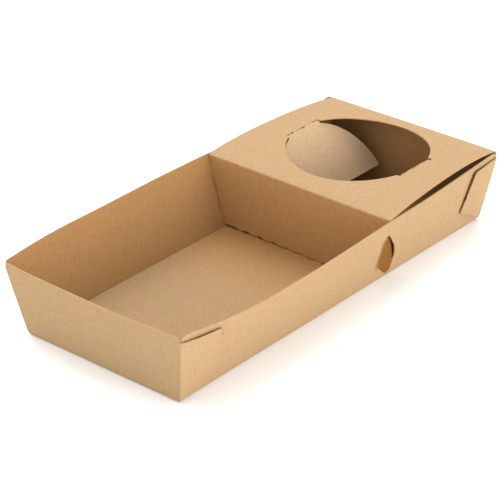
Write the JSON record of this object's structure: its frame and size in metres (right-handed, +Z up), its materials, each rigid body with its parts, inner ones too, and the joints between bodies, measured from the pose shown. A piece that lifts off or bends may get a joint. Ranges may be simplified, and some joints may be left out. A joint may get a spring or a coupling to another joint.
{
  "type": "cardboard tray box",
  "caption": "Folded kraft board tray: open sloping-sided food tray in front, and an arched lid behind it with a round cup hole whose two half-disc flaps hang inside.",
  "frame": {"origin": "middle of the floor's underside, on the surface the tray stands on", "axes": "+X across the tray to its right wall, +Y along it towards the lidded rear end, +Z up"},
  "size_m": [0.1347, 0.275, 0.0472],
  "materials": {
    "kraft_board": "matt uncoated kraft"
  },
  "bodies": {
    "tray": {"tray": "kraft_board"},
    "flap_left": {"cup_flap_left": "kraft_board"},
    "flap_right": {"cup_flap_right": "kraft_board"}
  },
  "joints": [
    {"name": "left_flap_fold", "type": "hinge", "parent": "tray", "child": "flap_left", "pos_m": [-0.0402, 0.0825, 0.0466], "axis": [0, 1, 0], "range_deg": [-50, 40]},
    {"name": "right_flap_fold", "type": "hinge", "parent": "tray", "child": "flap_right", "pos_m": [0.0402, 0.0825, 0.0466], "axis": [0, -1, 0], "range_deg": [-56, 34]}
  ]
}
